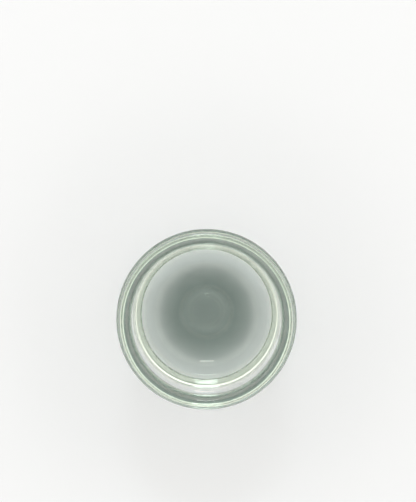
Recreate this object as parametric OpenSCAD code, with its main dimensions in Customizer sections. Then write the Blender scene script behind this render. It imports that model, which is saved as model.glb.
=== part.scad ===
// Dappen dish: a small, heavy, open dish that holds liquid or powder at a nail desk.
// It is one piece of pressed clear glass, so the model is one revolved solid. Its half section
// is the outside, less the bowl and the hollow under the foot, with an oval lip round the mouth.
// The origin is the middle of the foot, on the surface that the dish stands on, and +Z is up.

/* [Rim] */
// Diameter across the lip
rim_d = 50; // [40:0.5:64]
// Height from the table to the top of the lip
dish_h = 36.5; // [30:0.5:46]
// Thickness of the lip, which is also the thickness of the wall at the mouth
lip_t = 4.3; // [3.2:0.1:6]
// Height of the lip's oval section
lip_h = 6.2; // [4:0.1:9]
// How far the lip stands out from the wall below it
lip_step = 0.5; // [0.2:0.1:1.5]

/* [Outside] */
// How far the wall leans in from the lip down to the rounded bottom
wall_lean = 1.7; // [0:0.1:3]
// Height of the rounded bottom
belly_h = 7; // [4:0.5:12]
// How full the rounded bottom is: 1 is a cone, 2 is a quarter of an ellipse
belly_fullness = 1.8; // [1.2:0.1:2.5]

/* [Foot] */
// Diameter of the foot
foot_d = 18; // [14:0.2:28]
// Width of the flat ring that the dish stands on, round the hollow under the foot
ring_w = 1.4; // [0.6:0.1:4]
// Depth of that hollow at its middle
hollow_h = 1; // [0.3:0.1:2]

/* [Bowl] */
// Thickness of the glass between the bowl's floor and the table
base_t = 20.5; // [10:0.5:22]
// Diameter of the flat middle of the bowl's floor
floor_d = 2.6; // [0.6:0.2:24]
// How far up the bowl's wall the curve round that flat reaches
cove_h = 3; // [1:0.5:6]
// How full that curve is: 1 is a cone, 2 is a quarter of an ellipse
cove_fullness = 1.6; // [1.2:0.1:2.5]

/* [Hidden] */
$fn = 96;
CURVE_STEPS = 24;  // straight steps in each of the two full curves

lip_mid_r = rim_d / 2 - lip_t / 2;
lip_mid_z = dish_h - lip_h / 2;
mouth_r = rim_d / 2 - lip_t;
wall_r = rim_d / 2 - lip_step;
foot_r = foot_d / 2;

// Point of a curve that turns from flat to upright as it goes from [0, 0] to [1, 1]
function full_curve(turn, fullness) = [pow(sin(turn), 2 / fullness), 1 - pow(cos(turn), 2 / fullness)];

// Points of that curve, w wide and h high, from the point start
function curve_points(start, w, h, fullness) = [
    for (i = [0 : CURVE_STEPS])
        let (p = full_curve(90 * i / CURVE_STEPS, fullness))
        [start.x + w * p.x, start.y + h * p.y]
];

// Half section of the outside below the lip, filled: the foot, the rounded bottom and the leaning wall
module outside_section() {
    belly_w = wall_r - wall_lean - foot_r;
    polygon(concat(
        [[0, 0]],
        curve_points([foot_r, 0], belly_w, belly_h, belly_fullness),
        [[wall_r, lip_mid_z], [0, lip_mid_z]]
    ));
}

module lip_section() {
    translate([lip_mid_r, lip_mid_z]) scale([lip_t, lip_h]) circle(d = 1);
}

// Half section of the bowl, open at the top
module bowl_section() {
    floor_r = floor_d / 2;
    polygon(concat(
        [[0, dish_h + 1], [0, base_t]],
        curve_points([floor_r, base_t], mouth_r - floor_r, cove_h, cove_fullness),
        [[mouth_r, dish_h + 1]]
    ));
}

// Half section of the hollow under the foot, a shallow dome
module hollow_section() {
    hollow_r = foot_r - ring_w;
    dome_r = (hollow_r * hollow_r + hollow_h * hollow_h) / (2 * hollow_h);
    intersection() {
        translate([0, hollow_h - dome_r]) circle(r = dome_r, $fn = 360);
        translate([0, -1]) square([foot_r, hollow_h + 2]);
    }
}

module glass_dish() {
    color([0.74, 0.84, 0.79, 0.45])
    rotate_extrude() {
        difference() {
            union() {
                outside_section();
                lip_section();
            }
            difference() {
                bowl_section();
                lip_section();
            }
            hollow_section();
        }
    }
}

glass_dish();
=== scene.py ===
import math

import bmesh
import bpy
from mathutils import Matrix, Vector, noise


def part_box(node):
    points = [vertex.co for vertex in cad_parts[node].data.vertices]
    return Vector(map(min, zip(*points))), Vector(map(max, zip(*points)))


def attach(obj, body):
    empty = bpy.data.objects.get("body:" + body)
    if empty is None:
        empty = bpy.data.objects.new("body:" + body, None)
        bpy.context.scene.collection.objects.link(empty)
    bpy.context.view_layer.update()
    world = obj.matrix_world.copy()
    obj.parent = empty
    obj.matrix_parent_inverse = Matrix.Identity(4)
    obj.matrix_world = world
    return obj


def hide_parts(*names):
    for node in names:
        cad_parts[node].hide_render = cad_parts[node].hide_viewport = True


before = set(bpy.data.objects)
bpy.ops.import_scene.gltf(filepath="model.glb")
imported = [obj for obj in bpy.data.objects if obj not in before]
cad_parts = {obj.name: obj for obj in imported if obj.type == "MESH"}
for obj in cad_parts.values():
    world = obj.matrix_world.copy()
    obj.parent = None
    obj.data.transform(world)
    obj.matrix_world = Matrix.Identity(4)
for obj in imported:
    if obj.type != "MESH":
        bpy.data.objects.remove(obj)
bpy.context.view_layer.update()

# ---------------------------------------------------------------------------------------------
# The dish. One gob of clear soda-lime glass, pressed in an iron mould with a plunger and then
# fire-polished, so it is glossy all over and every edge is round. Most of its height is the solid
# base, and the skin keeps the slight ripple of the iron. Only the ring that it stands on is scuffed.
# ---------------------------------------------------------------------------------------------
MM = 0.001
dish_low, dish_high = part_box("glass_dish")
rim_r = (dish_high.x - dish_low.x) / 2
dish_h = dish_high.z - dish_low.z

lip_t = 4.3 * MM          # the rounded lip: its oval section's thickness, the same as the wall's
lip_h = 6.2 * MM          # and that oval's height
lip_step = 0.5 * MM       # how far the lip stands out from the wall below it
wall_lean = 1.7 * MM      # how far the wall leans in from the lip down to the rounded bottom
belly_h = 7.0 * MM        # height of the rounded bottom
belly_fullness = 1.8      # its shape, between a cone at 1 and a quarter of an ellipse at 2
foot_r = 9.0 * MM         # outside of the flat ring that the dish stands on
ring_w = 1.4 * MM         # width of that ring, round the hollow under the foot
hollow_h = 1.0 * MM       # depth of that hollow, a shallow dome
base_t = 20.5 * MM        # glass under the middle of the bowl
floor_r = 1.3 * MM        # the flat middle of the bowl's floor
cove_h = 3.0 * MM         # how far up the bowl's wall the curve round that flat reaches
cove_fullness = 1.6       # its shape, as for the rounded bottom

TURN_STEPS = 360          # facets round the dish, too many to see
ripple_h = 0.03 * MM      # how deep the mould's ripple is
ripple_w = 9.0 * MM       # and how far apart its waves are


def full_curve(start, end, fullness, steps):
    """Points on a curve from flat at its start to upright at its end, without the first."""
    points = []
    for i in range(1, steps + 1):
        turn = math.pi / 2 * i / steps
        across, up = math.sin(turn) ** (2 / fullness), 1 - math.cos(turn) ** (2 / fullness)
        points.append((start[0] + (end[0] - start[0]) * across, start[1] + (end[1] - start[1]) * up))
    return points


def straight(start, end, steps):
    """Points on the line between two points of the section, without the first."""
    return [(start[0] + (end[0] - start[0]) * i / steps, start[1] + (end[1] - start[1]) * i / steps)
            for i in range(1, steps + 1)]


def dish_section():
    """Half section of the dish, from the middle of the hollow round to the middle of the bowl's floor."""
    hollow_r = foot_r - ring_w
    dome_r = (hollow_r ** 2 + hollow_h ** 2) / (2 * hollow_h)
    hollow = [(r, hollow_h - dome_r + math.sqrt(dome_r ** 2 - r ** 2))
              for r in (hollow_r * i / 30 for i in range(31))]
    foot = straight((hollow_r, 0), (foot_r, 0), 3)
    wall_r = rim_r - lip_step
    belly_end = (wall_r - wall_lean, belly_h)
    belly = full_curve((foot_r, 0), belly_end, belly_fullness, 80)
    lip_mid_r = rim_r - lip_t / 2
    lip_mid_z = dish_h - lip_h / 2
    start = -math.acos((wall_r - lip_mid_r) / (lip_t / 2))
    lip = []
    for i in range(81):
        turn = start + (math.pi - start) * i / 80
        lip.append((lip_mid_r + lip_t / 2 * math.cos(turn), lip_mid_z + lip_h / 2 * math.sin(turn)))
    wall = straight(belly_end, lip[0], 20)[:-1]
    mouth_r = rim_r - lip_t
    cove = full_curve((floor_r, base_t), (mouth_r, base_t + cove_h), cove_fullness, 80)[::-1]
    bowl_wall = straight((mouth_r, lip_mid_z), cove[0], 12)[:-1]
    return hollow + foot + belly + wall + lip + bowl_wall + cove + [(floor_r, base_t), (0, base_t)]


def rippled(section):
    """The section's points, each with how deep the ripple may go there and the way into the glass."""
    points = []
    for before, (r, z), after in zip(section[:1] + section, section, section[1:] + section[-1:]):
        along = Vector((after[0] - before[0], after[1] - before[1])).normalized()
        depth = ripple_h * min(1, z / (0.6 * MM)) * min(1, r / (4 * MM))
        points.append((r, z, depth, Vector((-along.y, along.x))))
    return points


def lathe(name, section):
    """A closed mesh of the section turned about the axis, where its first and last points lie."""
    mesh = bmesh.new()
    rows = []
    for r, z, depth, inwards in rippled(section):
        row = []
        for k in range(TURN_STEPS if r > 1e-7 else 1):
            turn = math.tau * k / TURN_STEPS
            where = Vector((r * math.cos(turn), r * math.sin(turn), z))
            move = depth * (0.5 + 0.5 * noise.noise(where / ripple_w))
            moved_r = max(r + inwards.x * move, 0)
            moved_z = z + inwards.y * move
            row.append(mesh.verts.new((moved_r * math.cos(turn), moved_r * math.sin(turn), moved_z)))
        rows.append(row)
    for lower, upper in zip(rows, rows[1:]):
        for k in range(TURN_STEPS):
            n = (k + 1) % TURN_STEPS
            corners = [lower[k % len(lower)], lower[n % len(lower)],
                       upper[n % len(upper)], upper[k % len(upper)]]
            mesh.faces.new(list(dict.fromkeys(corners)))
    bmesh.ops.recalc_face_normals(mesh, faces=mesh.faces)
    data = bpy.data.meshes.new(name)
    mesh.to_mesh(data)
    mesh.free()
    for face in data.polygons:
        face.use_smooth = True
    piece = bpy.data.objects.new(name, data)
    bpy.context.scene.collection.objects.link(piece)
    return piece


def linear(hex_colour):
    """An sRGB hex colour as the linear colour, with alpha, that a shader takes."""
    parts = [int(hex_colour[i:i + 2], 16) / 255 for i in (1, 3, 5)]
    return [c / 12.92 if c <= 0.04045 else ((c + 0.055) / 1.055) ** 2.4 for c in parts] + [1]


def add_node(tree, kind, settings=None, **links):
    """A node with its settings, each a socket or a property by name, and its inputs linked."""
    node = tree.nodes.new(kind)
    for name, value in (settings or {}).items():
        if name in node.inputs:
            node.inputs[name].default_value = value
        else:
            setattr(node, name, value)
    for name, socket in links.items():
        tree.links.new(socket, node.inputs[name.replace("_", " ")])
    return node


def soda_lime_glass():
    """Soda-lime glass, fire-polished: clear in a thin wall, and grey-green down a long path."""
    material = bpy.data.materials.new("soda_lime_glass")
    material.use_nodes = True
    tree = material.node_tree
    tree.nodes.clear()
    place = add_node(tree, "ShaderNodeTexCoord").outputs["Object"]

    # The chill of the iron mould leaves a faint orange-peel, and fire-polish leaves only its broad part.
    chill = add_node(tree, "ShaderNodeTexNoise",
                     {"Scale": 1 / (5 * MM), "Detail": 2.0, "Roughness": 0.35}, Vector=place)
    skin = add_node(tree, "ShaderNodeBump",
                    {"Strength": 0.12, "Distance": 0.02 * MM}, Height=chill.outputs["Fac"])

    # The ring that it stands on is scuffed by being slid about. The scuff ends just above the table.
    height = add_node(tree, "ShaderNodeSeparateXYZ", Vector=place)
    low = add_node(tree, "ShaderNodeMapRange",
                   {"From Min": 0.02 * MM, "From Max": 0.0, "To Min": 0.0, "To Max": 1.0},
                   Value=height.outputs["Z"])
    scuff = add_node(tree, "ShaderNodeTexNoise",
                     {"Scale": 1 / (0.4 * MM), "Detail": 4.0, "Roughness": 0.7}, Vector=place)
    worn = add_node(tree, "ShaderNodeMath", {"operation": "MULTIPLY"})
    tree.links.new(low.outputs["Result"], worn.inputs[0])
    tree.links.new(scuff.outputs["Fac"], worn.inputs[1])
    dulling = add_node(tree, "ShaderNodeMapRange",
                       {"To Min": 0.0, "To Max": 0.5}, Value=worn.outputs["Value"])

    surface = add_node(tree, "ShaderNodeBsdfPrincipled",
                       {"Base Color": (1, 1, 1, 1), "IOR": 1.52, "Transmission Weight": 1.0},
                       Roughness=dulling.outputs["Result"], Normal=skin.outputs["Normal"])
    tint = add_node(tree, "ShaderNodeVolumeAbsorption", {"Color": linear("#6EA587"), "Density": 14.0})
    add_node(tree, "ShaderNodeOutputMaterial", Surface=surface.outputs["BSDF"], Volume=tint.outputs["Volume"])
    return material


dish = lathe("glass_dish_moulded", dish_section())
dish.data.materials.append(soda_lime_glass())
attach(dish, "root")
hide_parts("glass_dish")

# ---------------------------------------------------------------------------------------------
# The table top. A plain matt white sheet, wide enough that no edge of it shows. The air under the
# foot keeps the glass from touching it, as grit does on a real table.
# ---------------------------------------------------------------------------------------------
TABLE_SIDE = 6.0
AIR_UNDER_FOOT = 0.02 * MM


def matt_white_paper():
    """Matt paper: no gloss, so it shows only the soft shadow and the light that the glass gathers."""
    material = bpy.data.materials.new("matt_white_paper")
    material.use_nodes = True
    surface = material.node_tree.nodes["Principled BSDF"]
    surface.inputs["Base Color"].default_value = linear("#E7F1F5")
    surface.inputs["Roughness"].default_value = 1.0
    surface.inputs["Specular IOR Level"].default_value = 0.0
    return material


bpy.ops.mesh.primitive_plane_add(size=TABLE_SIDE, location=(0, 0, -AIR_UNDER_FOOT))
table = bpy.context.object
table.name = "table_top"
table.data.materials.append(matt_white_paper())

# ---------------------------------------------------------------------------------------------
# The light. White cloth stands all round the table, a little warm, and is open to a dim room
# overhead, which the glass shows as its dark parts. One softbox stands beyond the far side.
# ---------------------------------------------------------------------------------------------
scene = bpy.context.scene
world = bpy.data.worlds.new("cloth_tent")
scene.world = world
world.use_nodes = True
sky = world.node_tree
direction = add_node(sky, "ShaderNodeTexCoord")
parts = add_node(sky, "ShaderNodeSeparateXYZ", Vector=direction.outputs["Generated"])
CLOTH = (1.13, 1.0, 0.96)         # warm white
OVERHEAD = (0.03, 0.07, 0.045)    # the dim room above the cloth, a little green
cloth_near = 1.85                 # how bright the cloth is on the camera's side of the table
cloth_far = 2.35                  # and how bright beyond it
cloth_top = 44.0                  # elevation in degrees at which the cloth ends
cloth_fade = 3.0                  # and how softly it ends


def cloth_wall(brightness):
    """A ramp over the sine of the elevation: the cloth up to its top edge, and the dim room above it."""
    ramp = add_node(sky, "ShaderNodeValToRGB", Fac=parts.outputs["Z"])
    elements = ramp.color_ramp.elements
    elevations = [cloth_top + cloth_fade * step for step in (-8, -4, -3, -2, -1, 0, 1, 2, 3, 4, 8)]
    while len(elements) < len(elevations):
        elements.new(0.5)
    for element, elevation in zip(elements, elevations):
        share = 1 / (1 + math.exp((elevation - cloth_top) / cloth_fade))
        element.position = math.sin(math.radians(elevation))
        element.color = [o + (c * brightness - o) * share for c, o in zip(CLOTH, OVERHEAD)] + [1]
    return ramp.outputs["Color"]


# The near cloth passes into the far cloth at the sides. Sockets 6, 7 and 2 of a mix are its colours.
far_share = add_node(sky, "ShaderNodeMapRange", {"From Min": -0.5, "From Max": 0.5}, Value=parts.outputs["Y"])
cloth = add_node(sky, "ShaderNodeMix", {"data_type": "RGBA"})
sky.links.new(far_share.outputs["Result"], cloth.inputs["Factor"])
sky.links.new(cloth_wall(cloth_near), cloth.inputs[6])
sky.links.new(cloth_wall(cloth_far), cloth.inputs[7])
sky.links.new(cloth.outputs[2], sky.nodes["Background"].inputs["Color"])


def softbox(name, azimuth, elevation, distance, width, height, watts):
    """A softbox that faces the dish. Azimuth 0 is towards +X and 90 towards +Y."""
    light = bpy.data.lights.new(name, "AREA")
    light.shape = "RECTANGLE"
    light.size = width
    light.size_y = height
    light.energy = watts
    lamp = bpy.data.objects.new(name, light)
    a, e = math.radians(azimuth), math.radians(elevation)
    lamp.location = Vector((math.cos(a) * math.cos(e), math.sin(a) * math.cos(e), math.sin(e))) * distance
    lamp.rotation_euler = (-lamp.location).to_track_quat("-Z", "Y").to_euler()
    scene.collection.objects.link(lamp)


softbox("softbox_behind", azimuth=90, elevation=42, distance=2.0, width=0.5, height=0.2, watts=3.5)

# ---------------------------------------------------------------------------------------------
# The camera. It looks straight down at the table, and the dish stands low in its tall frame.
# ---------------------------------------------------------------------------------------------
rim_share = 0.3596        # the rim's width as a share of the frame's height
dish_left = 0.003         # how far left of the frame's middle the dish stands, as such a share
dish_down = 0.1355        # and how far below it
camera_above_rim = 0.22   # metres

camera_data = bpy.data.cameras.new("camera")
camera = bpy.data.objects.new("camera", camera_data)
scene.collection.objects.link(camera)
scene.camera = camera
frame_h = 2 * rim_r / rim_share
camera.location = (dish_left * frame_h, dish_down * frame_h, dish_h - lip_h / 2 + camera_above_rim)
camera_data.sensor_width = 36
camera_data.lens = 36 * camera_above_rim / frame_h
camera_data.clip_start = 0.01

scene.view_settings.view_transform = "Standard"
scene.cycles.max_bounces = 24
scene.cycles.transmission_bounces = 24
scene.cycles.glossy_bounces = 12
scene.cycles.use_denoising = True
